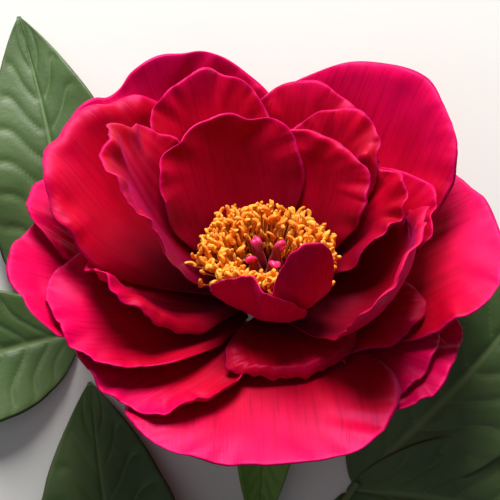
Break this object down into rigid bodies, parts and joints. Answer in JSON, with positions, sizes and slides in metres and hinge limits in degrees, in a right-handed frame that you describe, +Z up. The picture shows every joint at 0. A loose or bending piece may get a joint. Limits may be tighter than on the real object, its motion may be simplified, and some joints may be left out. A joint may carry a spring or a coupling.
{
  "type": "peony flower",
  "caption": "Cut peony lying on its side: wide cupped bloom of ruffled petals around a ring of stamens, bent neck, bare stem and divided leaves.",
  "frame": {"origin": "centre of the bounding box in plan, on the surface it lies on", "axes": "+Z up; the cut stem points along -Y and the bloom lies at the +Y end, tilted back towards +Y"},
  "size_m": [0.2274, 0.2208, 0.0714],
  "materials": {
    "petal": "satin, velvety",
    "stamen": "matte",
    "carpel": "satin",
    "receptacle": "matte",
    "sepal": "satin",
    "stem": "satin",
    "leaf": "satin",
    "bract": "satin"
  },
  "bodies": {
    "root": {"bract_leaf": "bract", "carpel_1": "carpel", "carpel_2": "carpel", "carpel_3": "carpel", "carpel_4": "carpel", "leaf_left": "leaf", "leaf_lower_left": "leaf", "leaf_right": "leaf", "petal_guard_back": "petal", "petal_guard_back_left": "petal", "petal_guard_back_right": "petal", "petal_guard_front_right": "petal", "petal_inner_back_left": "petal", "petal_inner_back_right": "petal", "petal_inner_cupped_right": "petal", "petal_inner_front": "petal", "petal_inner_front_right": "petal", "petal_inner_left": "petal", "petal_inner_right": "petal", "petal_inner_right_back": "petal", "petal_middle_back_left": "petal", "petal_middle_back_right": "petal", "petal_middle_front": "petal", "petal_middle_front_left": "petal", "petal_middle_front_right": "petal", "petal_middle_left": "petal", "petal_middle_right": "petal", "petal_outer_back_left": "petal", "petal_outer_back_right": "petal", "petal_outer_front": "petal", "petal_outer_front_left": "petal", "petal_outer_front_left_low": "petal", "petal_outer_front_right": "petal", "petal_outer_left": "petal", "petal_outer_left_small": "petal", "petal_outer_right": "petal", "receptacle": "receptacle", "sepal_1": "sepal", "sepal_2": "sepal", "sepal_3": "sepal", "sepal_4": "sepal", "sepal_5": "sepal", "stamens_1": "stamen", "stamens_2": "stamen", "stamens_3": "stamen", "stamens_4": "stamen", "stamens_5": "stamen", "stamens_6": "stamen", "stamens_7": "stamen", "stamens_8": "stamen", "stem": "stem"}
  },
  "joints": []
}
